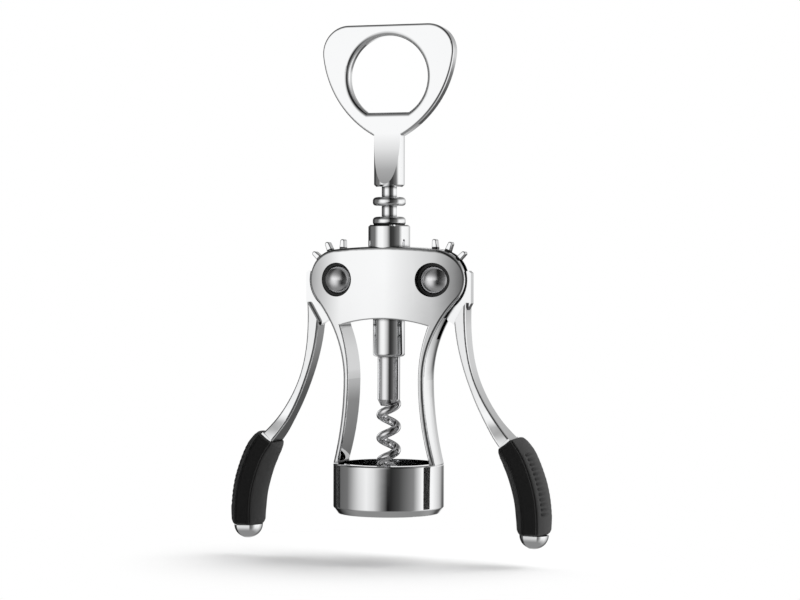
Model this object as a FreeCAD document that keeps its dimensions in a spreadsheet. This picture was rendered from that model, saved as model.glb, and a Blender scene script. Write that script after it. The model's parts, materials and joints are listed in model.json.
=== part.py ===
"""Wing corkscrew: a parametric FreeCAD document with one object per physical piece.

Frame: origin at the centre of the collar's bottom rim, on the shaft's axis. +Z runs up the shaft,
+X points at the right lever and -Y at the front. Lengths are in millimetres.
"""
import FreeCAD, Part
import math
import os

from FreeCAD import Placement, Rotation, Vector

DIMENSIONS = [
    # collar and the bottle seat inside it
    ("collar_radius", 19.3), ("collar_foot_radius", 17.6), ("collar_bevel", 2.3),
    ("collar_height", 17.5), ("cup_radius", 16.2), ("seat_underside", 9.0),
    ("seat_thickness", 2.0), ("seat_radius", 12.75), ("liner_pocket_radius", 16.8),
    ("liner_radius", 16.75), ("socket_radius", 15.55),
    # struts
    ("half_depth", 7.6), ("waist_height", 46.5), ("waist_outer", 15.7), ("waist_inner", 12.7),
    ("foot_height", 17.5), ("foot_outer", 19.2), ("foot_inner", 16.7), ("foot_sink", 3.5),
    ("outline_round", 1.2), ("window_round", 0.5), ("collar_round", 0.7),
    # pivot head
    ("pivot_offset", 17.5), ("pivot_height", 81.0), ("lobe_offset", 17.9),
    ("lobe_radius", 10.6), ("head_top", 92.6),
    ("window_corner_offset", 16.0), ("window_corner_height", 65.1), ("window_crown", 67.5),
    ("face_radius", 84.0), ("slot_half_width", 1.85),
    ("slot_disc_radius", 14.8), ("slot_end_height", 60.5), ("slot_tail_radius", 51.8),
    ("slot_tail_centre", 65.8), ("counterbore_radius", 5.9), ("counterbore_floor", 3.8),
    # neck and bush
    ("neck_radius", 7.3), ("neck_top", 100.0), ("neck_round", 0.5), ("head_bore_radius", 6.05),
    ("bush_outer_radius", 6.55), ("bush_inner_radius", 5.85), ("bush_bottom", 92.9),
    ("bush_top", 99.4),
    # pivot pins
    ("pin_radius", 2.6), ("stud_radius", 1.4), ("head_radius", 4.9), ("head_rise", 2.4),
    ("washer_radius", 5.75), ("washer_thickness", 0.4), ("pin_fit", 0.03),
    ("stud_hole_bottom", 1.5), ("stud_gap", 0.5),
    # opener handle
    ("plate_thickness", 4.8), ("opener_half_width", 24.0), ("opener_top", 169.4),
    ("plate_round", 0.8), ("hole_round", 1.6),
    ("opener_corner_radius", 9.5), ("opener_side_radius", 36.45), ("opener_foot_offset", 5.35),
    ("opener_foot_height", 131.0), ("hole_radius", 14.3), ("hole_height", 151.2),
    ("hole_flat_height", 139.0), ("stem_radius", 5.35), ("stem_bottom", 113.2),
    ("scoop_radius", 62.0), ("scoop_height", 133.0), ("stem_round", 0.7),
    # rack shaft
    ("ring_radius", 5.75), ("ring_thickness", 3.2), ("ring_round", 1.3), ("ring_pitch", 6.8),
    ("top_ring_height", 108.1), ("ring_count", 6), ("core_radius", 2.65), ("tang_radius", 2.2),
    ("tang_top", 121.0), ("thick_radius", 5.575), ("thick_bottom", 54.3), ("thick_top", 68.9),
    ("thick_round", 1.1), ("cross_pin_radius", 1.0), ("handle_pin_height", 117.5),
    ("worm_pin_height", 61.0),
    # worm
    ("shank_radius", 3.925), ("shank_bottom", 38.0), ("tenon_radius", 2.6), ("tenon_top", 65.0),
    ("worm_tip", 9.6), ("worm_pitch", 8.0), ("wire_radius", 1.5), ("worm_radius", 4.3),
    ("point_radius", 0.25),
    # lever
    ("hub_half_thickness", 1.6), ("tooth_root_radius", 10.2), ("tooth_tip_radius", 14.15),
    ("tooth_base_half_width", 1.1), ("tooth_tip_half_width", 0.8), ("tooth_spacing", 25.0),
    ("first_tooth_angle", 42.87), ("tooth_count", 8), ("tooth_round", 0.4),
    ("short_tooth_number", 3), ("short_tooth_tip_radius", 12.4), ("arm_round", 0.7),
    ("arm_edge_length", 30.0), ("ledge_thickness", 0.7),
    ("tang_half_width", 2.6), ("tang_half_depth", 3.4), ("tang_fit", 0.1),
    ("tang_flat_share", 0.8),
    # grip and end cap
    ("grip_flat_half_width", 2.75), ("grip_half_width", 6.2), ("grip_half_depth", 6.5),
    ("cap_gap", 0.15), ("cap_height", 4.9), ("cap_flat_half_width", 2.4),
    ("cap_half_width", 5.0), ("cap_half_depth", 5.2), ("cap_stud_radius", 1.3),
    ("cap_stud_length", 5.0), ("ledge_half_width", 2.15), ("ledge_half_depth", 5.75),
]

document = FreeCAD.newDocument("wing_corkscrew")
sheet = document.addObject("Spreadsheet::Sheet", "dimensions")
for row, (alias, value) in enumerate(DIMENSIONS, start=1):
    sheet.set("A%d" % row, alias)
    sheet.set("B%d" % row, str(value))
    sheet.setAlias("B%d" % row, alias)
document.recompute()

pieces = []


def size(alias):
    """The value of one dimension of the sheet."""
    return float(sheet.get(alias))


# ---- small helpers -------------------------------------------------------------------------

def keep(piece, label):
    """Name an object as one physical piece."""
    piece.Label = label
    pieces.append(piece)
    return piece


def solid_piece(label, shape):
    """A piece whose shape is worked out by Part's functions from the sheet's sizes."""
    piece = document.addObject("Part::Feature", label + "_shape")
    piece.Shape = shape
    piece.Placement = Placement()
    return keep(piece, label)


def cylinder(name, radius, height, placement=None):
    """A cylinder whose radius and height are expressions."""
    item = document.addObject("Part::Cylinder", name)
    item.setExpression("Radius", radius)
    item.setExpression("Height", height)
    item.Placement = placement or Placement()
    return item


def raised(item, height):
    """Bind an object's height above the origin to an expression."""
    item.setExpression("Placement.Base.z", height)
    return item


def front_point(across, up):
    """A point of the front view, in the plane of the shaft's axis."""
    return Vector(across, 0, up)


def line(start, end):
    return Part.makeLine(start, end)


def arc(start, middle, end):
    return Part.Arc(start, middle, end).toShape()


def spline(points):
    curve = Part.BSplineCurve()
    curve.interpolate(points)
    return curve.toShape()


def face_of(edges):
    return Part.Face(Part.Wire(edges))


def slab(face, half_depth):
    """A front-view face made into a solid from -Y to +Y."""
    face = face.copy()
    face.translate(Vector(0, -half_depth, 0))
    return face.extrude(Vector(0, 2 * half_depth, 0))


def turned(outline):
    """A solid turned about the Z axis from (radius, height) points."""
    points = [front_point(radius, height) for radius, height in outline]
    profile = Part.Face(Part.makePolygon(points + points[:1]))
    return profile.revolve(Vector(0, 0, 0), Vector(0, 0, 1), 360)


def rod(radius, start, end):
    """A round rod between two points."""
    direction = end.sub(start)
    return Part.makeCylinder(radius, direction.Length, start, direction)


def mirrored(shape):
    """The left-hand copy of a right-hand shape."""
    return shape.mirror(Vector(0, 0, 0), Vector(1, 0, 0))


def across_y(front):
    """A placement along Y, with its own Z pointing to the front or to the rear."""
    return Rotation(Vector(1, 0, 0), 90 if front else -90)


# ---- frame ---------------------------------------------------------------------------------

def strut_arc_point(waist, radius, height):
    """A point at a height on a strut arc that is upright at the waist."""
    rise = height - size("waist_height")
    return front_point(waist + radius - math.sqrt(radius ** 2 - rise ** 2), height)


def waist_arc_radius(waist, offset, height):
    """Radius of the arc that is upright at the waist and passes through a point."""
    run = offset - waist
    rise = height - size("waist_height")
    return (run ** 2 + rise ** 2) / (2 * run)


def mirror_point(point):
    return Vector(-point.x, point.y, point.z)


def flare_radius():
    """Radius of the arc that is upright at the waist and touches the lobe from outside."""
    run = size("waist_outer") - size("lobe_offset")
    rise = size("waist_height") - size("pivot_height")
    lobe = size("lobe_radius")
    return (run ** 2 + rise ** 2 - lobe ** 2) / (2 * (lobe - run))


def lobe_end():
    """The point where the lobe's circle runs into the flare."""
    centre = front_point(size("lobe_offset"), size("pivot_height"))
    flare_centre = front_point(size("waist_outer") + flare_radius(), size("waist_height"))
    return centre.add(flare_centre.sub(centre).normalize() * size("lobe_radius"))


def frame_envelope():
    """Everything inside the head's and struts' outer surface, turned about the shaft's axis."""
    across, up, lobe = size("lobe_offset"), size("pivot_height"), size("lobe_radius")
    waist, waist_z = size("waist_outer"), size("waist_height")
    foot, foot_z = size("foot_outer"), size("foot_height")
    # the crown arc touches both lobes from inside
    excess = size("head_top") - up - lobe
    drop = (across ** 2 - excess ** 2) / (2 * excess)
    crown_radius = drop + excess + lobe
    lean = across / (crown_radius - lobe)
    crown_end = front_point(across + lobe * lean, up + lobe * math.sqrt(1 - lean ** 2))
    lower = waist_arc_radius(waist, foot, foot_z)
    floor_z = foot_z - size("foot_sink")
    edges = [
        arc(front_point(0, size("head_top")),
            front_point(crown_end.x / 2, size("head_top") - crown_radius + math.sqrt(
                crown_radius ** 2 - crown_end.x ** 2 / 4)), crown_end),
        arc(crown_end, front_point(across + lobe, up), lobe_end()),
        arc(lobe_end(), strut_arc_point(waist, flare_radius(), (waist_z + lobe_end().z) / 2),
            front_point(waist, waist_z)),
        arc(front_point(waist, waist_z), strut_arc_point(waist, lower, (waist_z + foot_z) / 2),
            front_point(foot, foot_z)),
        line(front_point(foot, foot_z), front_point(foot, floor_z)),
        line(front_point(foot, floor_z), front_point(0, floor_z)),
        line(front_point(0, floor_z), front_point(0, size("head_top"))),
    ]
    return face_of(edges).revolve(Vector(0, 0, 0), Vector(0, 0, 1), 360)


def frame_window():
    """The gap between the struts, seen from the front."""
    waist, waist_z = size("waist_inner"), size("waist_height")
    corner = front_point(size("window_corner_offset"), size("window_corner_height"))
    foot, foot_z = size("foot_inner"), size("foot_height")
    floor_z = foot_z - size("foot_sink")
    upper = waist_arc_radius(waist, corner.x, corner.z)
    lower = waist_arc_radius(waist, foot, foot_z)
    right = [
        arc(corner, strut_arc_point(waist, upper, (waist_z + corner.z) / 2),
            front_point(waist, waist_z)),
        arc(front_point(waist, waist_z), strut_arc_point(waist, lower, (waist_z + foot_z) / 2),
            front_point(foot, foot_z)),
        line(front_point(foot, foot_z), front_point(foot, floor_z)),
    ]
    left = [mirrored(edge) for edge in right]
    crown = arc(mirror_point(corner), front_point(0, size("window_crown")), corner)
    floor = line(front_point(-foot, floor_z), front_point(foot, floor_z))
    return face_of(Part.__sortEdges__(right + left + [crown, floor]))


def plan_profile():
    """The crowned front and back faces, as one outline from above."""
    depth, radius = size("half_depth"), size("face_radius")
    reach = size("lobe_offset") + size("lobe_radius") + 1
    edge = depth - radius + math.sqrt(radius ** 2 - reach ** 2)
    face = face_of([
        arc(Vector(-reach, -edge, 0), Vector(0, -depth, 0), Vector(reach, -edge, 0)),
        line(Vector(reach, -edge, 0), Vector(reach, edge, 0)),
        arc(Vector(reach, edge, 0), Vector(0, depth, 0), Vector(-reach, edge, 0)),
        line(Vector(-reach, edge, 0), Vector(-reach, -edge, 0)),
    ])
    return face.extrude(Vector(0, 0, size("neck_top")))


def rounded_edges(casting, window, at_window, radius):
    """Round the edges of the front and back faces, either at the window or all the others."""
    edges = []
    for edge in casting.Edges:
        box = edge.BoundBox
        one_side = box.YMin > 0.1 or box.YMax < -0.1
        seam = box.XLength < 0.01
        in_collar = box.ZMax < size("collar_height")
        touches = edge.distToShape(window)[0] < 0.01
        if one_side and not seam and not in_collar and touches == at_window:
            edges.append(edge)
    return casting.makeFillet(radius, edges)


def collar():
    """The round collar with its seat, turned in one piece with the frame."""
    outer, foot, bevel = size("collar_radius"), size("collar_foot_radius"), size("collar_bevel")
    top, cup, pocket = size("collar_height"), size("cup_radius"), size("liner_pocket_radius")
    underside, seat = size("seat_underside"), size("seat_radius")
    upper = underside + size("seat_thickness")
    ring = turned([
        (pocket, 0), (foot, 0), (outer, bevel), (outer, top), (cup, top), (cup, upper),
        (seat, upper), (seat, underside), (pocket, underside),
    ])
    rims = [edge for edge in ring.Edges
            if edge.BoundBox.ZLength < 0.01 and edge.BoundBox.XMax > foot - 0.01]
    return ring.makeFillet(size("collar_round"), rims)


def lever_slots(side):
    """The slot that one lever's hub turns in, and its tail down the strut."""
    half, px, pz = size("slot_half_width"), size("pivot_offset"), size("pivot_height")
    start = Vector(side * px, -half, pz)
    disc = Part.makeCylinder(size("slot_disc_radius"), 2 * half, start, Vector(0, 1, 0))
    tail_start = Vector(side * size("slot_tail_centre"), -half, size("waist_height"))
    tail = Part.makeCylinder(size("slot_tail_radius"), 2 * half, tail_start, Vector(0, 1, 0))
    width = size("slot_tail_radius")
    limit = Part.makeBox(width, 2 * half, pz - size("slot_end_height"),
                         Vector(size("waist_inner"), -half, size("slot_end_height")))
    if side < 0:
        limit = mirrored(limit)
    return disc.fuse(tail.common(limit))


def pivot_holes(side):
    """Pin hole through both plates, with a counterbore from the front and from the rear."""
    px, pz, depth = size("pivot_offset"), size("pivot_height"), size("half_depth")
    floor = size("counterbore_floor")
    hole = rod(size("pin_radius") + size("pin_fit"), Vector(side * px, -depth, pz),
               Vector(side * px, depth, pz))
    front = rod(size("counterbore_radius"), Vector(side * px, -depth - 1, pz),
                Vector(side * px, -floor, pz))
    rear = rod(size("counterbore_radius"), Vector(side * px, floor, pz),
               Vector(side * px, depth + 1, pz))
    return hole.fuse([front, rear])


def neck():
    radius, top, rounding = size("neck_radius"), size("neck_top"), size("neck_round")
    return turned([(0, size("pivot_height")), (radius, size("pivot_height")),
                   (radius, top - rounding), (radius - rounding, top), (0, top)])


def make_frame():
    window = slab(frame_window(), size("half_depth"))
    casting = frame_envelope().common(plan_profile()).cut(window)
    casting = rounded_edges(casting, window, True, size("window_round"))
    casting = rounded_edges(casting, window, False, size("outline_round"))
    casting = casting.fuse([neck(), collar()])
    above_seat = size("seat_underside") + size("seat_thickness")
    bore = rod(size("head_bore_radius"), Vector(0, 0, above_seat), Vector(0, 0, size("neck_top")))
    bush_pocket = rod(size("bush_outer_radius"), Vector(0, 0, size("bush_bottom")),
                      Vector(0, 0, size("neck_top") + 1))
    cutters = [bore, bush_pocket]
    for side in (1, -1):
        cutters += [lever_slots(side), pivot_holes(side)]
    return solid_piece("frame", casting.cut(cutters).removeSplitter())


def make_ring(label, outer, inner, bottom, height):
    """A plain ring about the shaft's axis: liner and bush."""
    body = raised(cylinder(label + "_body", outer, height), bottom)
    hole = raised(cylinder(label + "_hole", inner, height), bottom)
    ring = document.addObject("Part::Cut", label + "_cut")
    ring.Base = body
    ring.Tool = hole
    return keep(ring, label)


# ---- pivot pins and washers ----------------------------------------------------------------

def domed_head(front):
    """A shallow dome with its flat side on a washer."""
    radius, rise = size("head_radius"), size("head_rise")
    ball_radius = (radius ** 2 + rise ** 2) / (2 * rise)
    base = size("counterbore_floor") + size("washer_thickness")
    outward = -1 if front else 1
    ball = Part.makeSphere(ball_radius, Vector(0, outward * (base + rise - ball_radius), 0))
    keep_zone = rod(radius, Vector(0, outward * base, 0), Vector(0, outward * (base + 2 * rise), 0))
    return ball.common(keep_zone)


def make_pivot_pins(name, side):
    """The front half is a sleeve with a domed head, the rear half a stud with a domed head."""
    base = size("counterbore_floor") + size("washer_thickness")
    sleeve = rod(size("pin_radius"), Vector(0, -base, 0), Vector(0, base, 0))
    bottom = size("stud_hole_bottom") - base
    stud_hole = rod(size("stud_radius"), Vector(0, bottom, 0), Vector(0, base, 0))
    stud = rod(size("stud_radius"), Vector(0, bottom + size("stud_gap"), 0), Vector(0, base, 0))
    place = Vector(side * size("pivot_offset"), 0, size("pivot_height"))
    halves = (("barrel", sleeve.cut(stud_hole).fuse(domed_head(True))),
              ("screw", stud.fuse(domed_head(False))))
    for half, shape in halves:
        piece = solid_piece("%s_pivot_%s" % (name, half), shape.removeSplitter())
        piece.Placement = Placement(place, Rotation())


def make_washer(name, side, where):
    label = "%s_%s_washer" % (name, where)
    front = where == "front"
    turn = across_y(front)
    disc = cylinder(label + "_disc", "dimensions.washer_radius", "dimensions.washer_thickness")
    hole = cylinder(label + "_hole", "dimensions.pin_radius + dimensions.pin_fit",
                    "dimensions.washer_thickness")
    washer = document.addObject("Part::Cut", label + "_cut")
    washer.Base = disc
    washer.Tool = hole
    sign = -1 if front else 1
    place = Vector(side * size("pivot_offset"), sign * size("counterbore_floor"),
                   size("pivot_height"))
    washer.Placement = Placement(place, turn)
    keep(washer, label)


# ---- opener handle -------------------------------------------------------------------------

def opener_outline():
    """The shield-shaped plate: straight top, two corner arcs, two long side arcs."""
    half, top, corner = size("opener_half_width"), size("opener_top"), size("opener_corner_radius")
    side = size("opener_side_radius")
    foot = front_point(size("opener_foot_offset"), size("opener_foot_height"))
    corner_centre = front_point(half - corner, top - corner)
    # the side arc touches the corner arc from outside and ends at the foot
    gap = corner_centre.sub(foot)
    reach = gap.Length
    along = (reach ** 2 + side ** 2 - (side - corner) ** 2) / (2 * reach)
    aside = math.sqrt(side ** 2 - along ** 2)
    unit = gap * (1 / reach)
    centre = foot.add(unit * along).add(Vector(-unit.z, 0, unit.x) * aside)
    touch = centre.add(corner_centre.sub(centre).normalize() * side)
    middle = centre.add(touch.add(foot).multiply(0.5).sub(centre).normalize() * side)
    corner_start = front_point(half - corner, top)
    half_way = touch.sub(corner_centre).add(corner_start.sub(corner_centre)).normalize()
    corner_middle = corner_centre.add(half_way * corner)
    right = [arc(corner_start, corner_middle, touch), arc(touch, middle, foot)]
    left = [mirrored(edge) for edge in right]
    top_line = line(mirror_point(corner_start), corner_start)
    foot_line = line(mirror_point(foot), foot)
    return face_of(Part.__sortEdges__(right + left + [top_line, foot_line]))


def opener_hole():
    """A round hole with a flat lip at the bottom."""
    half = size("plate_thickness")
    centre = Vector(0, -half, size("hole_height"))
    disc = Part.makeCylinder(size("hole_radius"), 2 * half, centre, Vector(0, 1, 0))
    width = 2 * size("hole_radius")
    above_lip = Part.makeBox(2 * width, 2 * half, width,
                             Vector(-width, -half, size("hole_flat_height")))
    return disc.common(above_lip)


def stem():
    """The round stem, scooped at the front and back down to the plate's thickness."""
    radius, bottom, rounding = size("stem_radius"), size("stem_bottom"), size("stem_round")
    top = size("opener_foot_height") + size("stem_radius")
    bar = turned([(0, bottom), (radius - rounding, bottom), (radius, bottom + rounding),
                  (radius, top), (0, top)])
    half = size("plate_thickness") / 2
    scoop, height = size("scoop_radius"), size("scoop_height")
    for sign in (1, -1):
        start = Vector(-2 * radius, sign * (half + scoop), height)
        cutter = Part.makeCylinder(scoop, 4 * radius, start, Vector(1, 0, 0))
        lower = Part.makeBox(4 * radius, 2 * radius, height - bottom,
                             Vector(-2 * radius, half if sign > 0 else -half - 2 * radius, bottom))
        upper = Part.makeBox(4 * radius, 2 * radius, 2 * radius,
                             Vector(-2 * radius, half if sign > 0 else -half - 2 * radius, height))
        bar = bar.cut([cutter.common(lower), upper])
    return bar


def make_opener_handle():
    half = size("plate_thickness") / 2
    plate = slab(opener_outline(), half)
    rims = [edge for edge in plate.Edges if edge.BoundBox.YLength < 0.01
            and edge.BoundBox.ZMax > size("opener_foot_height") + 0.1]
    plate = plate.makeFillet(size("plate_round"), rims).cut(opener_hole())
    hole_rims = [edge for edge in plate.Edges if edge.BoundBox.YLength < 0.01
                 and abs(abs(edge.BoundBox.YMax) - half) < 0.01
                 and edge.BoundBox.XMax < size("hole_radius") + 0.1
                 and edge.BoundBox.ZMin > size("hole_flat_height") - 0.1
                 and edge.BoundBox.ZMax < size("hole_height") + size("hole_radius") + 0.1]
    plate = plate.makeFillet(size("hole_round"), hole_rims)
    handle = plate.fuse(stem())
    socket = rod(size("tang_radius"), Vector(0, 0, size("stem_bottom") - 1),
                 Vector(0, 0, size("tang_top")))
    handle = handle.cut([socket, cross_pin("handle_pin_height")])
    return solid_piece("opener_handle", handle.removeSplitter())


def cross_pin(height_alias):
    """A short pin from the rear of the stem or shaft to just past its axis."""
    height = size(height_alias)
    radius = size("cross_pin_radius")
    return rod(radius, Vector(0, -radius, height), Vector(0, size("shank_radius"), height))


# ---- rack shaft ----------------------------------------------------------------------------

def make_rack_shaft():
    """Core, thick end and tang as cylinders, with the rack rings threaded on the core."""
    core = raised(cylinder("shaft_core", "dimensions.core_radius",
                           "dimensions.stem_bottom - dimensions.thick_top"),
                  "dimensions.thick_top")
    tang = raised(cylinder("shaft_tang", "dimensions.tang_radius",
                           "dimensions.tang_top - dimensions.stem_bottom"),
                  "dimensions.stem_bottom")
    thick = raised(cylinder("shaft_thick", "dimensions.thick_radius",
                            "dimensions.thick_top - dimensions.thick_bottom"),
                   "dimensions.thick_bottom")
    parts = [core, tang, rounded_ends(thick, "shaft_thick_end", size("thick_round"))]
    for number in range(int(size("ring_count"))):
        ring = cylinder("shaft_ring_%d" % number, "dimensions.ring_radius",
                        "dimensions.ring_thickness")
        raised(ring, "dimensions.top_ring_height - dimensions.ring_thickness / 2"
                     " - %d * dimensions.ring_pitch" % number)
        parts.append(rounded_ends(ring, "shaft_rack_ring_%d" % number, size("ring_round")))
    bar = document.addObject("Part::MultiFuse", "shaft_bar")
    bar.Shapes = parts
    socket = raised(cylinder("shaft_socket", "dimensions.tenon_radius",
                             "dimensions.tenon_top - dimensions.thick_bottom"),
                    "dimensions.thick_bottom")
    holes = document.addObject("Part::MultiFuse", "shaft_holes")
    holes.Shapes = [socket, pin_cylinder("shaft_handle_pin_hole", "handle_pin_height"),
                    pin_cylinder("shaft_worm_pin_hole", "worm_pin_height")]
    shaft = document.addObject("Part::Cut", "shaft_cut")
    shaft.Base = bar
    shaft.Tool = holes
    keep(shaft, "rack_shaft")


def rounded_ends(item, name, radius):
    """Round both end edges of a cylinder."""
    fillet = document.addObject("Part::Fillet", name)
    fillet.Base = item
    fillet.Edges = [(2, radius, radius), (3, radius, radius)]
    return fillet


def pin_cylinder(name, height_alias):
    """A cross pin's cylinder, from just past the axis to the rear."""
    pin = cylinder(name, "dimensions.cross_pin_radius",
                   "dimensions.shank_radius + dimensions.cross_pin_radius",
                   Placement(Vector(0, 0, 0), across_y(False)))
    pin.setExpression("Placement.Base.y", "-dimensions.cross_pin_radius")
    return raised(pin, "dimensions." + height_alias)


# ---- worm ----------------------------------------------------------------------------------

def helix_wire(bottom, height):
    """A stretch of the worm's helix with its foot at a height."""
    helix = Part.makeHelix(size("worm_pitch"), height, size("worm_radius") - size("wire_radius"))
    helix.translate(Vector(0, 0, bottom))
    return Part.Wire(helix.Edges)


def wire_section(helix, at_end, radius):
    """A circle square to the helix at one of its ends."""
    edge = helix.Edges[-1] if at_end else helix.Edges[0]
    parameter = edge.LastParameter if at_end else edge.FirstParameter
    circle = Part.makeCircle(radius, edge.valueAt(parameter), edge.tangentAt(parameter))
    return Part.Wire([circle])


def swept(helix, start_radius, end_radius):
    sections = [wire_section(helix, False, start_radius), wire_section(helix, True, end_radius)]
    return helix.makePipeShell(sections, True, True)


def make_worm():
    """Tenon and shank on the axis, then the helix, whose last half turn tapers to the point."""
    bottom, tip, wire = size("shank_bottom"), size("worm_tip"), size("wire_radius")
    taper = size("worm_pitch") / 2
    coil = swept(helix_wire(tip + taper, bottom + wire - tip - taper), wire, wire)
    point = swept(helix_wire(tip, taper), size("point_radius"), wire)
    # the point's helix ends half a turn on from where the coil's helix begins
    point.rotate(Vector(0, 0, 0), Vector(0, 0, 1), -180)
    shank = turned([
        (0, bottom - wire / 2), (size("worm_radius") - wire, bottom - wire / 2),
        (size("shank_radius"), bottom + wire), (size("shank_radius"), size("thick_bottom")),
        (size("tenon_radius"), size("thick_bottom")), (size("tenon_radius"), size("tenon_top")),
        (0, size("tenon_top")),
    ])
    worm = shank.fuse([coil, point]).cut(cross_pin("worm_pin_height"))
    return solid_piece("worm", worm)


# ---- levers --------------------------------------------------------------------------------

ARM_OUTER = [(29.0, 73.2), (29.3, 60.0), (31.8, 47.8), (37.05, 37.0), (45.0, 27.0)]
ARM_INNER = [(24.9, 66.2), (26.5, 56.0), (29.9, 45.0), (35.0, 33.7), (41.5, 24.1)]
ARM_HALF_DEPTH = [(75.0, 4.1), (60.0, 3.8), (45.0, 3.65), (36.0, 3.7), (31.5, 4.1), (28.0, 5.1),
                  (25.5, 5.6), (22.0, 5.7)]
HUB_EDGE = [(29.3, 84.2), (30.2, 83.4), (30.2, 73.0), (25.5, 64.5), (23.8, 65.9), (21.8, 67.1)]
GRIP_AXIS = [(43.75, 25.3), (47.3, 20.0), (49.8, 14.0), (51.6, 7.5), (52.4, 1.0), (52.5, -5.6)]
# (share of the way down the grip, width factor, depth factor)
GRIP_STATIONS = [(0, 0.66, 0.94), (0.03, 0.78, 0.98), (0.08, 0.88, 1), (0.2, 0.97, 1), (0.5, 1, 1),
                 (0.8, 0.99, 1), (0.95, 0.94, 1), (1, 0.8, 0.98)]
# shares of the cap's height at which its dome is drawn
CAP_SHARES = (0, 0.35, 0.65, 0.87, 0.985)
TANG_STATIONS = [(0, 1, 1), (0.25, 1, 1), (0.5, 1, 1), (0.75, 1, 1), (1, 1, 1)]


def front_points(pairs):
    return [front_point(across, up) for across, up in pairs]


def tooth(number):
    """One tapered peg with a round tip; the short one stays below the head's top."""
    angle = size("first_tooth_angle") + number * size("tooth_spacing")
    base, tip_width = size("tooth_base_half_width"), size("tooth_tip_half_width")
    short = number == size("short_tooth_number")
    tip = size("short_tooth_tip_radius" if short else "tooth_tip_radius")
    start, end = size("tooth_root_radius") - 1, tip - tip_width
    edges = [
        line(front_point(start, -base), front_point(end, -tip_width)),
        arc(front_point(end, -tip_width), front_point(end + tip_width, 0),
            front_point(end, tip_width)),
        line(front_point(end, tip_width), front_point(start, base)),
        line(front_point(start, base), front_point(start, -base)),
    ]
    peg = slab(face_of(edges), size("hub_half_thickness"))
    rims = [edge for edge in peg.Edges
            if edge.BoundBox.YLength < 0.01 and edge.BoundBox.XMax > start + 0.1]
    peg = peg.makeFillet(size("tooth_round"), rims)
    peg.rotate(Vector(0, 0, 0), Vector(0, -1, 0), angle)
    peg.translate(front_point(size("pivot_offset"), size("pivot_height")))
    return peg


def hub():
    """The toothed plate that turns in the head's slot."""
    half = size("hub_half_thickness")
    pivot = Vector(size("pivot_offset"), 0, size("pivot_height"))
    disc = Part.makeCylinder(size("tooth_root_radius"), 2 * half, pivot.sub(Vector(0, half, 0)),
                             Vector(0, 1, 0))
    edge = front_points(HUB_EDGE)
    web = slab(Part.Face(Part.makePolygon([pivot] + edge + [pivot])), half)
    teeth = [tooth(number) for number in range(int(size("tooth_count")))]
    return disc.fuse([web] + teeth)


def arm():
    """The curved arm: its front outline crossed with its outline from the side."""
    outer, inner = front_points(ARM_OUTER), front_points(ARM_INNER)
    outline = face_of([spline(outer), line(outer[-1], inner[-1]), spline(inner[::-1]),
                       line(inner[0], outer[0])])
    right = [Vector(0, depth, up) for up, depth in ARM_HALF_DEPTH]
    left = [Vector(0, -depth, up) for up, depth in ARM_HALF_DEPTH]
    side = face_of([spline(right), line(right[-1], left[-1]), spline(left[::-1]),
                    line(left[0], right[0])])
    side_slab = side.extrude(Vector(ARM_OUTER[-1][0] + size("grip_half_width"), 0, 0))
    solid = slab(outline, 2 * size("grip_half_depth")).common(side_slab)
    long_edges = [edge for edge in solid.Edges
                  if edge.BoundBox.ZLength > size("arm_edge_length")]
    return solid.makeFillet(size("arm_round"), long_edges)


def grip_station(fraction):
    """Point and downward direction on the grip's axis, from its top (0) to its bottom (1)."""
    curve = Part.BSplineCurve()
    curve.interpolate(front_points(GRIP_AXIS))
    parameter = curve.FirstParameter + fraction * (curve.LastParameter - curve.FirstParameter)
    direction = Vector(curve.tangent(parameter)[0])
    return curve.value(parameter), direction.normalize()


def oval_section(place, direction, flat, width, depth):
    """A section with flats at the front and back and bowed sides, square to the axis."""
    sideways = direction.cross(Vector(0, 1, 0)).normalize()

    def corner(across, along_y):
        return place.add(sideways * across).add(Vector(0, along_y, 0))

    return Part.Wire([
        line(corner(-flat, -depth), corner(flat, -depth)),
        arc(corner(flat, -depth), corner(width, 0), corner(flat, depth)),
        line(corner(flat, depth), corner(-flat, depth)),
        arc(corner(-flat, depth), corner(-width, 0), corner(-flat, -depth)),
    ])


def grip_loft(flat, width, depth, stations):
    """A loft along the grip's axis; each station has its place, width and depth factors."""
    sections = []
    for fraction, wide, deep in stations:
        place, direction = grip_station(fraction)
        sections.append(oval_section(place, direction, flat, width * wide, depth * deep))
    return Part.makeLoft(sections, True)


def tang(clearance):
    width = size("tang_half_width") + clearance
    depth = size("tang_half_depth") + clearance
    return grip_loft(width * size("tang_flat_share"), width, depth, TANG_STATIONS)


def ledge():
    """The thin ledge round the arm's foot that the grip butts against."""
    place, direction = grip_station(0)
    across, depth = size("ledge_half_width"), size("ledge_half_depth")
    sideways = direction.cross(Vector(0, 1, 0)).normalize()
    corners = [place.add(sideways * (along * across)).add(Vector(0, deep * depth, 0))
               for along, deep in ((-1, -1), (1, -1), (1, 1), (-1, 1))]
    plate = Part.Face(Part.makePolygon(corners + corners[:1]))
    return plate.extrude(direction * -size("ledge_thickness"))


def stud_hole():
    place, direction = grip_station(1)
    return rod(size("cap_stud_radius"), place.sub(direction * size("cap_stud_length")),
               place.add(direction * (size("cap_gap") + size("cap_height") / 2)))


def right_lever_shape():
    pin = size("pin_radius") + size("pin_fit")
    px, pz = size("pivot_offset"), size("pivot_height")
    hole = rod(pin, Vector(px, -size("half_depth"), pz), Vector(px, size("half_depth"), pz))
    lever = hub().fuse([arm(), ledge(), tang(0)])
    return lever.cut([hole, stud_hole()]).removeSplitter()


def right_grip_shape():
    """The rubber sleeve, hollow where the tang runs."""
    sleeve = grip_loft(size("grip_flat_half_width"), size("grip_half_width"),
                       size("grip_half_depth"), GRIP_STATIONS)
    return sleeve.cut(tang(size("tang_fit")))


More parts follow.
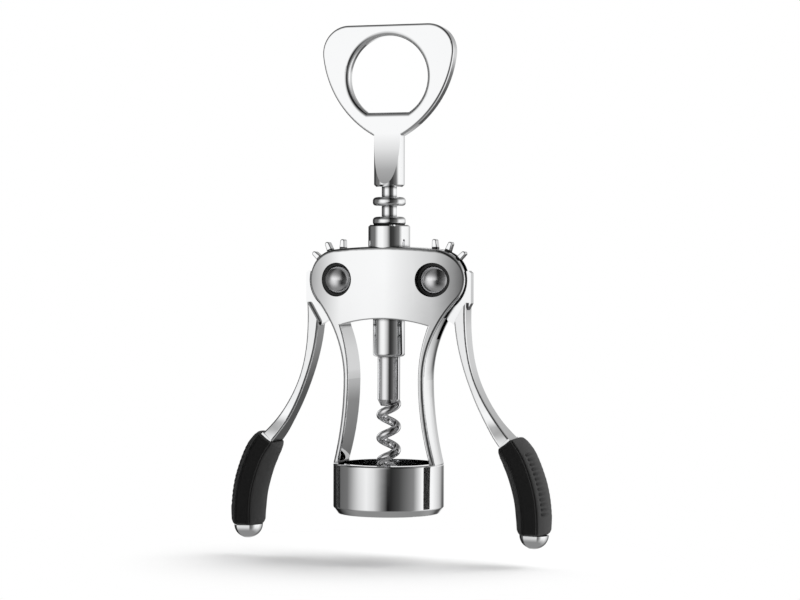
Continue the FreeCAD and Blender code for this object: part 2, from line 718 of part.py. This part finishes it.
def right_cap_shape():
    """A four-sided dome below the grip, with its stud in the tang."""
    place, direction = grip_station(1)
    start = place.add(direction * size("cap_gap"))
    sections = []
    for share in CAP_SHARES:
        scale = math.sqrt(1 - share ** 2)
        centre = start.add(direction * (size("cap_height") * share))
        sections.append(oval_section(centre, direction, size("cap_flat_half_width") * scale,
                                     size("cap_half_width") * scale,
                                     size("cap_half_depth") * scale))
    return Part.makeLoft(sections, True).fuse(stud_hole())


def make_lever(name, side):
    shapes = (("lever", right_lever_shape()), ("grip", right_grip_shape()),
              ("end_cap", right_cap_shape()))
    for part_name, shape in shapes:
        solid_piece("%s_%s" % (name, part_name), shape if side > 0 else mirrored(shape))


# ---- the whole corkscrew -------------------------------------------------------------------

make_frame()
make_ring("collar_liner", "dimensions.liner_radius", "dimensions.socket_radius", "0",
          "dimensions.seat_underside")
make_ring("neck_bush", "dimensions.bush_outer_radius", "dimensions.bush_inner_radius",
          "dimensions.bush_bottom", "dimensions.bush_top - dimensions.bush_bottom")
make_opener_handle()
make_rack_shaft()
keep(pin_cylinder("handle_cross_pin", "handle_pin_height"), "handle_pin")
keep(pin_cylinder("worm_cross_pin", "worm_pin_height"), "worm_pin")
make_worm()
for name, side in (("left", -1), ("right", 1)):
    make_pivot_pins(name, side)
    make_washer(name, side, "front")
    make_washer(name, side, "rear")
    make_lever(name, side)
document.recompute()

for item in document.Objects:
    if "Invalid" in item.State or "Error" in item.State:
        raise RuntimeError("%s failed: %s" % (item.Name, item.State))
for piece in pieces:
    if piece.Shape.isNull() or not piece.Shape.isValid():
        raise RuntimeError("%s has no valid shape" % piece.Label)

os.makedirs("parts", exist_ok=True)
for piece in pieces:
    piece.Shape.exportStep("parts/%s.step" % piece.Label)
    print("%-24s %2d solid  %9.1f mm3" % (piece.Label, len(piece.Shape.Solids), piece.Shape.Volume))
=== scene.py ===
"""Looks of the wing corkscrew: chrome castings, turned steel and black rubber in a white studio."""
import json
import math

import bpy
from mathutils import Matrix, Vector


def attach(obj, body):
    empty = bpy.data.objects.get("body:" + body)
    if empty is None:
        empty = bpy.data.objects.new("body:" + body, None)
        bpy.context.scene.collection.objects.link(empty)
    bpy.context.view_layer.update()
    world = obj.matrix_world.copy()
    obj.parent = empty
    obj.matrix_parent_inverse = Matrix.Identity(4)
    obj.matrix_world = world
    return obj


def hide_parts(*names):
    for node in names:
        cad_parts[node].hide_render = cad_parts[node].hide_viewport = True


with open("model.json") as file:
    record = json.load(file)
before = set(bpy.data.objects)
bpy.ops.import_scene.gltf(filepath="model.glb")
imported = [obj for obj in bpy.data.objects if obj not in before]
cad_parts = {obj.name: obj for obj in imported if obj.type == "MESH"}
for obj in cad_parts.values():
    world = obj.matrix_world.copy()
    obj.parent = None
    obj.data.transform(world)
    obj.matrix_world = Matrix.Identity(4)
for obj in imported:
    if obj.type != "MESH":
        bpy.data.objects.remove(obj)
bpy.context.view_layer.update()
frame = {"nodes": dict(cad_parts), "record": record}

MM = 0.001
SIDES = (("left", -1), ("right", 1))

# ---- camera --------------------------------------------------------------------------------

CAMERA_DISTANCE = 837.1 * MM      # from the shaft's axis
CAMERA_AZIMUTH = 19.12            # degrees to the right of the front
CAMERA_HEIGHT = 84.5 * MM
CAMERA_YAW = -0.26                # degrees, further off the axis
CAMERA_PITCH = 0.72               # degrees downwards
CAMERA_ROLL = 0.15                # degrees
CAMERA_LENS = 108.46              # mm
SENSOR_WIDTH = 36                 # mm


def make_camera():
    azimuth = math.radians(CAMERA_AZIMUTH)
    heading = math.radians(CAMERA_AZIMUTH + CAMERA_YAW)
    pitch = math.radians(CAMERA_PITCH)
    roll = math.radians(CAMERA_ROLL)
    forward = Vector((-math.sin(heading) * math.cos(pitch), math.cos(heading) * math.cos(pitch),
                      -math.sin(pitch)))
    right = forward.cross(Vector((0, 0, 1))).normalized()
    up = right.cross(forward)
    tilted_right = right * math.cos(roll) + up * math.sin(roll)
    tilted_up = up * math.cos(roll) - right * math.sin(roll)
    data = bpy.data.cameras.new("camera")
    data.lens = CAMERA_LENS
    data.sensor_width = SENSOR_WIDTH
    camera = bpy.data.objects.new("camera", data)
    axes = Matrix((tilted_right, tilted_up, -forward)).transposed().to_4x4()
    place = Matrix.Translation((CAMERA_DISTANCE * math.sin(azimuth),
                                -CAMERA_DISTANCE * math.cos(azimuth), CAMERA_HEIGHT))
    camera.matrix_world = place @ axes
    bpy.context.scene.collection.objects.link(camera)
    bpy.context.scene.camera = camera


# ---- node helpers --------------------------------------------------------------------------

class Nodes:
    """A short way to add and join shader nodes."""

    def __init__(self, tree):
        self.tree = tree
        tree.nodes.clear()

    def add(self, kind, **settings):
        """Add a node; each setting is one of its properties or the value of one of its inputs."""
        node = self.tree.nodes.new(kind)
        for name, value in settings.items():
            if hasattr(node, name):
                setattr(node, name, value)
            else:
                node.inputs[name.replace("_", " ")].default_value = value
        return node

    def join(self, output, target):
        self.tree.links.new(output, target)

    def math(self, operation, first, second=None):
        """Work on numbers, each given as a value or as an output."""
        node = self.add("ShaderNodeMath", operation=operation)
        for number, value in enumerate((first, second)):
            if value is None:
                continue
            if isinstance(value, (int, float)):
                node.inputs[number].default_value = value
            else:
                self.join(value, node.inputs[number])
        return node.outputs[0]

    def remap(self, value, low=0.0, high=1.0, to_low=0.0, to_high=1.0, **settings):
        """Map the values between low and high onto another span."""
        node = self.add("ShaderNodeMapRange", From_Min=low, From_Max=high, To_Min=to_low,
                        To_Max=to_high, **settings)
        self.join(value, node.inputs["Value"])
        return node.outputs[0]

    def blend(self, share, first, second):
        """Mix two grey values."""
        node = self.add("ShaderNodeMix", data_type="FLOAT")
        self.join(share, node.inputs[0])
        self.join(first, node.inputs[2])
        self.join(second, node.inputs[3])
        return node.outputs[0]

    def blend_colours(self, share, first, second):
        """Mix two colours, each given as a tuple or as an output."""
        node = self.add("ShaderNodeMix", data_type="RGBA")
        self.join(share, node.inputs[0])
        for target, colour in ((node.inputs[6], first), (node.inputs[7], second)):
            if isinstance(colour, tuple):
                target.default_value = colour
            else:
                self.join(colour, target)
        return node.outputs[2]

    def mix_shaders(self, share, first, second):
        node = self.add("ShaderNodeMixShader")
        self.join(share, node.inputs[0])
        self.join(first.outputs[0], node.inputs[1])
        self.join(second.outputs[0], node.inputs[2])
        return node

    def ramp(self, value, stops):
        """Read a brightness off (position, brightness) stops."""
        node = self.add("ShaderNodeValToRGB")
        elements = node.color_ramp.elements
        while len(elements) > 1:
            elements.remove(elements[-1])
        elements[0].position = stops[0][0]
        elements[0].color = grey(stops[0][1])
        for position, brightness in stops[1:]:
            elements.new(position).color = grey(brightness)
        self.join(value, node.inputs[0])
        return node.outputs[0]


def grey(value):
    return (value, value, value, 1)


# ---- studio --------------------------------------------------------------------------------

# (degrees to the right of the front, brightness): white sheets with dark flags between them
UPPER_BANDS = [
    (-180, 0.5), (-166, 1.0), (-150, 1.0), (-145, 0.03), (-115, 0.03), (-95, 0.15), (-66, 0.17),
    (-42, 0.97), (-18, 1.0), (6, 0.65), (24, 0.03), (44, 0.05), (74, 0.2), (94, 1.0), (140, 0.95),
    (166, 0.6),
]
# the sheets lean, so they stand a little elsewhere at the height that the collar mirrors
LOWER_BANDS = [
    (-180, 0.3), (-166, 1.0), (-150, 1.0), (-145, 0.01), (-118, 0.02), (-100, 0.13), (-76, 0.17),
    (-46, 0.7), (-28, 0.9), (-12, 0.72), (4, 0.24), (17, 0.005), (40, 0.065), (72, 0.25),
    (93, 1.0), (122, 1.0), (150, 0.55), (166, 0.1),
]
# the light that matt surfaces receive: more from the sides than from the front
SOFT_BANDS = [(-180, 0.9), (-110, 1.1), (-60, 0.1), (50, 0.1), (100, 2.6), (150, 1.4)]
# (sine of the elevation, brightness): the sheets end towards the ceiling and the floor
STUDIO_HEIGHTS = [(-1.0, 0.6), (-0.45, 0.8), (-0.2, 1.0), (0.1, 1.0), (0.25, 0.8), (0.45, 0.42),
                  (0.7, 0.22), (1.0, 0.15)]
BAND_TURNOVER = -0.1    # sine of the elevation below which only the lower bands show
GROUND_START = -0.45    # sines of the elevation between which the bands turn into plain ground
GROUND_END = -0.8
GROUND = 0.26           # brightness of the ground in the metal

FLOOR_HEIGHT = -17.0 * MM
FLOOR_RADIUS = 700.0 * MM
FLOOR_CORNERS = 64
FLOOR_WHITE = 0.96
SHADOW_RADIUS = 100.0 * MM       # beyond this the floor is plain white to the camera
SHADOW_CORE = SHADOW_RADIUS / 3  # within this the floor shows the whole shadow

LAMP_PLACE = (1.15, 0.3, 0.55)   # metres
LAMP_AIM = (0, 0, 0.05)          # metres
LAMP_WIDTH = 1.3                 # metres
LAMP_POWER = 10.0                # watts


def band_ramp(nodes, turn, bands):
    return nodes.ramp(turn, [(angle / 360 + 0.5, value) for angle, value in bands])


def mirrored_studio(nodes, turn, rise):
    """What metal mirrors: banded sheets that fade upwards, and plain ground far below."""
    upper_share = nodes.remap(rise, BAND_TURNOVER, 0.0)
    bands = nodes.blend(upper_share, band_ramp(nodes, turn, LOWER_BANDS),
                        band_ramp(nodes, turn, UPPER_BANDS))
    height = nodes.math("ADD", nodes.math("MULTIPLY", rise, 0.5), 0.5)
    heights = nodes.ramp(height, [(sine / 2 + 0.5, value) for sine, value in STUDIO_HEIGHTS])
    sheets = nodes.math("MULTIPLY", bands, heights)
    above = nodes.remap(rise, GROUND_END, GROUND_START)
    ground = nodes.math("MULTIPLY", nodes.math("SUBTRACT", 1.0, above), GROUND)
    return nodes.math("ADD", nodes.math("MULTIPLY", sheets, above), ground)


def make_world():
    """White to the camera, banded to metal, and soft bands of light to matt surfaces."""
    world = bpy.data.worlds.new("studio")
    world.use_nodes = True
    bpy.context.scene.world = world
    nodes = Nodes(world.node_tree)
    direction = nodes.add("ShaderNodeTexCoord").outputs["Generated"]
    split = nodes.add("ShaderNodeSeparateXYZ")
    nodes.join(direction, split.inputs[0])
    toward_front = nodes.math("MULTIPLY", split.outputs["Y"], -1.0)
    azimuth = nodes.math("ARCTAN2", split.outputs["X"], toward_front)
    turn = nodes.math("ADD", nodes.math("DIVIDE", azimuth, 2 * math.pi), 0.5)
    path = nodes.add("ShaderNodeLightPath")
    white = nodes.add("ShaderNodeBackground", Color=grey(1.0), Strength=1.0)
    soft = nodes.add("ShaderNodeBackground", Strength=1.0)
    nodes.join(band_ramp(nodes, turn, SOFT_BANDS), soft.inputs["Color"])
    mirrored = nodes.add("ShaderNodeBackground", Strength=1.0)
    nodes.join(mirrored_studio(nodes, turn, split.outputs["Z"]), mirrored.inputs["Color"])
    glossy_mix = nodes.mix_shaders(path.outputs["Is Glossy Ray"], soft, mirrored)
    camera_mix = nodes.mix_shaders(path.outputs["Is Camera Ray"], glossy_mix, white)
    output = nodes.add("ShaderNodeOutputWorld")
    nodes.join(camera_mix.outputs[0], output.inputs["Surface"])


def floor_material():
    """Pale paint near the object, for its shadow, and plain white to the camera further out."""
    material = bpy.data.materials.new("floor")
    material.use_nodes = True
    nodes = Nodes(material.node_tree)
    coordinates = nodes.add("ShaderNodeTexCoord")
    distance = nodes.add("ShaderNodeVectorMath", operation="LENGTH")
    nodes.join(coordinates.outputs["Object"], distance.inputs[0])
    far = nodes.remap(distance.outputs["Value"], SHADOW_CORE, SHADOW_RADIUS,
                      interpolation_type="SMOOTHSTEP")
    path = nodes.add("ShaderNodeLightPath")
    paint = nodes.add("ShaderNodeBsdfDiffuse", Color=grey(FLOOR_WHITE))
    white = nodes.add("ShaderNodeEmission", Color=grey(1.0), Strength=1.0)
    plain = nodes.math("MULTIPLY", path.outputs["Is Camera Ray"], far)
    seen = nodes.mix_shaders(plain, paint, white)
    output = nodes.add("ShaderNodeOutputMaterial")
    nodes.join(seen.outputs[0], output.inputs["Surface"])
    return material


def make_floor():
    """A round pale floor, which the metal doesn't mirror."""
    mesh = bpy.data.meshes.new("floor")
    corners = []
    for number in range(FLOOR_CORNERS):
        turn = 2 * math.pi * number / FLOOR_CORNERS
        corners.append((math.cos(turn) * FLOOR_RADIUS, math.sin(turn) * FLOOR_RADIUS, 0))
    mesh.from_pydata(corners, [], [list(range(FLOOR_CORNERS))])
    floor = bpy.data.objects.new("floor", mesh)
    floor.location = (0, 0, FLOOR_HEIGHT)
    floor.visible_glossy = False
    bpy.context.scene.collection.objects.link(floor)
    mesh.materials.append(floor_material())


def make_lamp():
    """One large soft lamp from the right, which lights the matt pieces and isn't mirrored."""
    data = bpy.data.lights.new("lamp", "AREA")
    data.size = LAMP_WIDTH
    data.energy = LAMP_POWER
    lamp = bpy.data.objects.new("lamp", data)
    lamp.location = LAMP_PLACE
    heading = Vector(LAMP_AIM) - Vector(LAMP_PLACE)
    lamp.rotation_euler = heading.to_track_quat("-Z", "Y").to_euler()
    lamp.visible_glossy = False
    bpy.context.scene.collection.objects.link(lamp)


# ---- materials -----------------------------------------------------------------------------

# corners, where shade is painted: how far apart two surfaces still shade each other, the open
# shares of the surroundings at which the painted shade is full and gone, and the brightness of the
# full painted shade
CORNER_SAMPLES = 8
CREVICE_REACH = 1.6 * MM
CREVICE_OPEN = (0.45, 0.8)
CREVICE_SHADE_GREY = 0.02
GROOVE_REACH = 0.9 * MM
GROOVE_OPEN = (0.6, 0.95)
GROOVE_SHADE_GREY = 0.004

# plating: a cloudy haze and a faint ripple
HAZE_SCALE = 90.0
HAZE_DETAIL = 4.0
HAZE_SPAN = (0.6, 1.5)            # shares of the roughness
RIPPLE_SCALE = 160.0
RIPPLE_HEIGHT = 0.02 * MM
RIPPLE_STRENGTH = 0.35

# rubber: smooth flats at the front and rear, textured sides; the flats are painted darker and the
# sides paler, as painted shade and light
FLAT_SHADE_GREY = 0.016
SIDE_LIT_GREY = 0.052
FLAT_FACING = (0.9, 0.97)         # how squarely a face looks to the front or rear: side, flat
RUBBER_SPECULAR = 0.06
GRAIN_SCALE = 2600.0
GRAIN_DETAIL = 3.0
GRAIN_ROUGHNESS = (0.42, 0.6)
GRAIN_HEIGHT = 0.04 * MM
GRAIN_STRENGTH = 0.5

# plastic
SPARK_SCALE = 1800.0
SPARK_DETAIL = 3.0
SPARK_ROUGHNESS = (0.38, 0.55)
SPARK_HEIGHT = 0.03 * MM
SPARK_STRENGTH = 0.4

# the levers' pivots, from the middle plane and up
PIVOT_OFFSET = 17.5 * MM
PIVOT_HEIGHT = 81.0 * MM
HUB_HALF_THICKNESS = 1.65 * MM
HUB_DARK_RADIUS = 11.4 * MM       # of the hub's face that stays in the slot's shadow
# the slots in the frame, where shade is painted dark: a disc in each lobe and a bent tail down
# along the strut's flare
SLOT_HALF_WIDTH = 1.87 * MM
LOBE_OFFSET = 17.9 * MM
LOBE_INSIDE = 10.45 * MM          # radius
FLARE_OFFSET = 57.99 * MM         # centre of the flare's arc
FLARE_HEIGHT = 46.5 * MM
TAIL_REACH = (42.45 * MM, 45.2 * MM)    # radii about the flare's centre
TAIL_BOTTOM = 60.4 * MM


def new_material(name):
    material = bpy.data.materials.new(name)
    material.use_nodes = True
    nodes = Nodes(material.node_tree)
    shader = nodes.add("ShaderNodeBsdfPrincipled")
    output = nodes.add("ShaderNodeOutputMaterial")
    nodes.join(shader.outputs[0], output.inputs["Surface"])
    return material, nodes, shader


def noise(nodes, scale, detail=2.0):
    coordinates = nodes.add("ShaderNodeTexCoord")
    texture = nodes.add("ShaderNodeTexNoise", Scale=scale, Detail=detail)
    nodes.join(coordinates.outputs["Object"], texture.inputs["Vector"])
    return texture.outputs[0]


def roughen(nodes, shader, value, low, high):
    """Let a 0 to 1 value vary the roughness between two limits."""
    nodes.join(nodes.remap(value, to_low=low, to_high=high), shader.inputs["Roughness"])


def bump(nodes, shader, height, distance, strength):
    node = nodes.add("ShaderNodeBump", Distance=distance, Strength=strength)
    nodes.join(height, node.inputs["Height"])
    nodes.join(node.outputs[0], shader.inputs["Normal"])


def openness(nodes, reach, limits):
    """0 in corners and gaps, 1 where the surroundings are open."""
    corner = nodes.add("ShaderNodeAmbientOcclusion", samples=CORNER_SAMPLES, Distance=reach)
    return nodes.remap(corner.outputs["AO"], *limits)


def front_view(nodes, across, up):
    """Distance from either side's point (across, up) and from the middle plane, and the height."""
    coordinates = nodes.add("ShaderNodeTexCoord")
    split = nodes.add("ShaderNodeSeparateXYZ")
    nodes.join(coordinates.outputs["Object"], split.inputs[0])
    run = nodes.math("SUBTRACT", nodes.math("ABSOLUTE", split.outputs["X"]), across)
    rise = nodes.math("SUBTRACT", split.outputs["Z"], up)
    squares = nodes.math("ADD", nodes.math("MULTIPLY", run, run),
                         nodes.math("MULTIPLY", rise, rise))
    depth = nodes.math("ABSOLUTE", split.outputs["Y"])
    return nodes.math("SQRT", squares), depth, split.outputs["Z"]


def where_all(nodes, *tests):
    """1 where every test is 1."""
    result = tests[0]
    for test in tests[1:]:
        result = nodes.math("MULTIPLY", result, test)
    return result


def frame_slot_shade(nodes):
    """1 inside the slots that the levers turn in, where shade is painted dark into the plating."""
    reach, depth, _ = front_view(nodes, LOBE_OFFSET, PIVOT_HEIGHT)
    near_middle = nodes.math("LESS_THAN", depth, SLOT_HALF_WIDTH)
    lobe = where_all(nodes, near_middle, nodes.math("LESS_THAN", reach, LOBE_INSIDE))
    reach, _, height = front_view(nodes, FLARE_OFFSET, FLARE_HEIGHT)
    tail = where_all(nodes, near_middle, nodes.math("GREATER_THAN", reach, TAIL_REACH[0]),
                     nodes.math("LESS_THAN", reach, TAIL_REACH[1]),
                     nodes.math("GREATER_THAN", height, TAIL_BOTTOM))
    return nodes.math("MAXIMUM", lobe, tail)


def hub_slot_shade(nodes):
    """1 on the part of a lever's hub that stays in the slot's shadow, where that shade is painted
    dark.
    """
    reach, depth, _ = front_view(nodes, PIVOT_OFFSET, PIVOT_HEIGHT)
    return where_all(nodes, nodes.math("LESS_THAN", depth, HUB_HALF_THICKNESS),
                     nodes.math("LESS_THAN", reach, HUB_DARK_RADIUS))


def chrome(name, colour=(0.94, 0.945, 0.95), roughness=0.035, painted_shade_mask=None):
    """Polished plating, hazy from handling, with shade painted dark into corners, gaps and the
    masked places.
    """
    material, nodes, shader = new_material(name)
    shader.inputs["Metallic"].default_value = 1.0
    # painted shade: the base colour goes dark in corners and gaps, and in the masked places
    clear = openness(nodes, CREVICE_REACH, CREVICE_OPEN)
    if painted_shade_mask:
        clear = nodes.math("MULTIPLY", clear, nodes.math("SUBTRACT", 1.0, painted_shade_mask(nodes)))
    tint = nodes.blend_colours(clear, grey(CREVICE_SHADE_GREY), (*colour, 1))
    nodes.join(tint, shader.inputs["Base Color"])
    roughen(nodes, shader, noise(nodes, HAZE_SCALE, HAZE_DETAIL), roughness * HAZE_SPAN[0],
            roughness * HAZE_SPAN[1])
    bump(nodes, shader, noise(nodes, RIPPLE_SCALE), RIPPLE_HEIGHT, RIPPLE_STRENGTH)
    return material


def rubber(name):
    """Matt black moulded rubber: smooth flats and textured sides, with light and shade painted in:
    the flats darker, the sides paler and the grooves dark.
    """
    material, nodes, shader = new_material(name)
    # painted light and shade: faces turned to the front or rear are painted darker, faces turned
    # sideways paler
    facing = nodes.add("ShaderNodeSeparateXYZ")
    nodes.join(nodes.add("ShaderNodeNewGeometry").outputs["True Normal"], facing.inputs[0])
    surface = nodes.remap(nodes.math("ABSOLUTE", facing.outputs["Y"]), *FLAT_FACING, SIDE_LIT_GREY,
                          FLAT_SHADE_GREY)
    # painted shade: grooves and corners get a darker base colour
    clear = openness(nodes, GROOVE_REACH, GROOVE_OPEN)
    tint = nodes.blend_colours(clear, grey(GROOVE_SHADE_GREY), surface)
    nodes.join(tint, shader.inputs["Base Color"])
    shader.inputs["Specular IOR Level"].default_value = RUBBER_SPECULAR
    grain = noise(nodes, GRAIN_SCALE, GRAIN_DETAIL)
    roughen(nodes, shader, grain, *GRAIN_ROUGHNESS)
    bump(nodes, shader, grain, GRAIN_HEIGHT, GRAIN_STRENGTH)
    return material


def plastic(name, colour):
    """Moulded plastic with a fine spark-eroded texture."""
    material, nodes, shader = new_material(name)
    shader.inputs["Base Color"].default_value = (*colour, 1)
    texture = noise(nodes, SPARK_SCALE, SPARK_DETAIL)
    roughen(nodes, shader, texture, *SPARK_ROUGHNESS)
    bump(nodes, shader, texture, SPARK_HEIGHT, SPARK_STRENGTH)
    return material


def dress_cad_nodes():
    """Give every CAD node the material of its slot, and return the slots' materials."""
    materials = {
        "chrome": chrome("chrome"),
        "pivot_steel": chrome("pivot_steel", (0.86, 0.86, 0.87), 0.2),
        "worm_steel": chrome("worm_steel", (0.88, 0.88, 0.89), 0.06),
        "steel_pin": chrome("steel_pin", (0.6, 0.6, 0.61), 0.25),
        "grip_rubber": rubber("grip_rubber"),
        "liner_plastic": plastic("liner_plastic", (0.03, 0.03, 0.032)),
        "bush_plastic": plastic("bush_plastic", (0.04, 0.04, 0.042)),
        "washer_plastic": plastic("washer_plastic", (0.012, 0.012, 0.012)),
    }
    # the castings get painted shade in their slots
    castings = {
        "frame": chrome("frame_chrome", painted_shade_mask=frame_slot_shade),
        "left_lever": chrome("lever_chrome", painted_shade_mask=hub_slot_shade),
    }
    castings["right_lever"] = castings["left_lever"]
    for entry in frame["record"]["subparts"]:
        node = frame["nodes"][entry["node"]]
        node.data.materials.clear()
        node.data.materials.append(castings.get(entry["node"], materials[entry["material_slot"]]))
    return materials


# ---- grips, in mm --------------------------------------------------------------------------

# (across, up) points down the middle of the right grip
GRIP_AXIS = [(43.75, 25.3), (47.3, 20.0), (49.8, 14.0), (51.6, 7.5), (52.4, 1.0), (52.5, -5.6)]
# (share of the way down, width factor)
GRIP_WIDTHS = [(0.0, 0.68), (0.03, 0.79), (0.08, 0.88), (0.2, 0.97), (0.5, 1.0), (0.8, 0.99),
               (0.95, 0.94), (1.0, 0.8)]
GRIP_FLAT = 2.75         # half the width of the flats at the front and rear
GRIP_WIDTH = 6.2         # half the width at the bowed sides
GRIP_DEPTH = 6.45        # half the depth
EDGE_GROOVE = 0.45       # half the width of the moulding line between the flats and the sides
EDGE_DEPTH = 0.75        # how far its control point lies inside the corner
END_ROUND = 0.9          # length over which the ends draw in
END_SHARE = 0.8          # how far they draw in, as a share of that
RING_STEP = 0.22         # between rings of points down the grip
OUTER_STEPS = 44         # steps round the outer side, the inner side, a flat and a groove
INNER_STEPS = 20
FLAT_STEPS = 6
GROOVE_STEPS = 4
PANEL_TOP = 0.18         # shares of the way down between which the outer side is ribbed
PANEL_BOTTOM = 0.815
PANEL_REACH = 0.84       # share of the side's arc, to the front and to the rear of its middle
PANEL_FADE = 0.1         # share of the arc at which the ribs have run out towards the middle
PANEL_WALL = 0.06        # share of the arc over which the panel's front and rear borders sink
PANEL_STEP = 0.02        # share of the panel over which its top and bottom borders sink
PANEL_DEPTH = 0.12       # how far the ribs' tops lie below the side
RIB_COUNT = 13
RIB_DEPTH = 0.65


def smooth_step(value):
    value = min(1.0, max(0.0, value))
    return value * value * (3 - 2 * value)


def through_points(points, share):
    """Point and direction at a share of the way along a smooth curve through points."""
    reach = share * (len(points) - 1)
    number = min(int(reach), len(points) - 2)
    step = reach - number
    first, second = Vector(points[number]), Vector(points[number + 1])
    before = Vector(points[number - 1]) if number > 0 else 2 * first - second
    after = Vector(points[number + 2]) if number + 2 < len(points) else 2 * second - first
    leave, arrive = (second - before) / 2, (after - first) / 2
    place = (first * (2 * step ** 3 - 3 * step ** 2 + 1)
             + leave * (step ** 3 - 2 * step ** 2 + step)
             + second * (3 * step ** 2 - 2 * step ** 3)
             + arrive * (step ** 3 - step ** 2))
    direction = (first * (6 * step ** 2 - 6 * step)
                 + leave * (3 * step ** 2 - 4 * step + 1)
                 + second * (6 * step - 6 * step ** 2)
                 + arrive * (3 * step ** 2 - 2 * step))
    return place, direction.normalized()


def between(table, share):
    """The value at a share, in straight runs between the rows of a table."""
    for (low, first), (high, second) in zip(table, table[1:]):
        if share <= high:
            return first + (second - first) * (share - low) / (high - low)
    return table[-1][1]


def bowed_side(flat, width, depth, count):
    """Points and normals of a side, from the front to the rear, with their share of the arc."""
    centre = (width ** 2 - flat ** 2 - depth ** 2) / (2 * (width - flat))
    radius = width - centre
    half_angle = math.atan2(depth, flat - centre)
    trim = EDGE_GROOVE / radius
    rows = []
    for number in range(count + 1):
        share = 2 * number / count - 1
        angle = share * (half_angle - trim)
        normal = Vector((math.cos(angle), math.sin(angle)))
        rows.append((Vector((centre, 0)) + normal * radius, normal, share))
    return rows


def groove_points(start, corner, end):
    """Points between start and end that sink a narrow groove along a corner."""
    corner = corner * (1 - EDGE_DEPTH / corner.length)
    points = []
    for number in range(1, GROOVE_STEPS):
        step = number / GROOVE_STEPS
        points.append(start * (1 - step) ** 2 + corner * (2 * step * (1 - step)) + end * step ** 2)
    return points


def rib_depth(down, share):
    """How deep the grooves cut at a share down the grip and a share across its outer side."""
    if not PANEL_TOP < down < PANEL_BOTTOM:
        return 0.0
    along = (down - PANEL_TOP) / (PANEL_BOTTOM - PANEL_TOP)
    groove = 0.5 - 0.5 * math.cos(2 * math.pi * RIB_COUNT * along)
    border = smooth_step((PANEL_REACH - abs(share)) / PANEL_WALL)
    border *= smooth_step(min(along, 1 - along) / PANEL_STEP)
    run_out = smooth_step((abs(share) - PANEL_FADE) / (PANEL_REACH - PANEL_FADE))
    return border * run_out * (PANEL_DEPTH + RIB_DEPTH * groove)


def grip_section(down, inset):
    """One ring of the grip as (across, front to rear) points, from the outer side's front."""
    flat = GRIP_FLAT
    width = GRIP_WIDTH * between(GRIP_WIDTHS, down) - inset
    depth = GRIP_DEPTH - inset
    outer = []
    for point, normal, share in bowed_side(flat, width, depth, OUTER_STEPS):
        outer.append(point - normal * rib_depth(down, share))
    inner = []
    for point, _, _ in reversed(bowed_side(flat, width, depth, INNER_STEPS)):
        inner.append(Vector((-point.x, point.y)))
    reach = flat - EDGE_GROOVE
    rear = [Vector((reach - step * reach / (FLAT_STEPS / 2), depth))
            for step in range(FLAT_STEPS + 1)]
    front = [Vector((-point.x, -depth)) for point in rear]
    runs = (outer, rear, inner, front)
    corners = ((flat, depth), (-flat, depth), (-flat, -depth), (flat, -depth))
    ring = []
    for number, (run, corner) in enumerate(zip(runs, corners)):
        following = runs[(number + 1) % len(runs)]
        ring += run + groove_points(run[-1], Vector(corner), following[0])
    return ring


def grip_rings():
    """The rings of (across, front to rear, up) points down the right grip."""
    length = sum((Vector(b) - Vector(a)).length for a, b in zip(GRIP_AXIS, GRIP_AXIS[1:]))
    count = int(length / RING_STEP)
    rings = []
    for number in range(count + 1):
        down = number / count
        to_end = min(down, 1 - down) * length
        roll = max(0.0, 1 - to_end / END_ROUND)
        inset = END_ROUND * (1 - math.sqrt(1 - roll ** 2)) * END_SHARE
        place, direction = through_points(GRIP_AXIS, down)
        sideways = Vector((-direction.y, direction.x))
        ring = []
        for point in grip_section(down, inset):
            spot = place + sideways * point.x
            ring.append((spot.x, point.y, spot.y))
        rings.append(ring)
    return rings


def sleeve_faces(count, size, side):
    """Four-sided faces between the rings and one face at each end, all facing outwards."""
    faces = []
    for number in range(count - 1):
        for step in range(size):
            a = number * size + step
            b = number * size + (step + 1) % size
            faces.append((a, b, b + size, a + size) if side > 0 else (a + size, b + size, b, a))
    top = list(range(size))
    bottom = [(count - 1) * size + step for step in range(size)]
    return faces + ([top[::-1], bottom] if side > 0 else [top, bottom[::-1]])


def make_grip(name, side, material):
    """The ribbed rubber sleeve, mirrored for the left side."""
    rings = grip_rings()
    vertices = [(side * across * MM, depth * MM, up * MM)
                for ring in rings for across, depth, up in ring]
    mesh = bpy.data.meshes.new(name + "_grip_sleeve")
    mesh.from_pydata(vertices, [], sleeve_faces(len(rings), len(rings[0]), side))
    mesh.shade_smooth()
    for end_face in list(mesh.polygons)[-2:]:
        end_face.use_smooth = False
    sleeve = bpy.data.objects.new(name + "_grip_sleeve", mesh)
    bpy.context.scene.collection.objects.link(sleeve)
    mesh.materials.append(material)
    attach(sleeve, name + "_lever_body")
    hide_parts(name + "_grip")


bpy.context.scene.view_settings.view_transform = "Standard"
make_camera()
make_world()
make_floor()
make_lamp()
slot_materials = dress_cad_nodes()
for side_name, side_sign in SIDES:
    make_grip(side_name, side_sign, slot_materials["grip_rubber"])
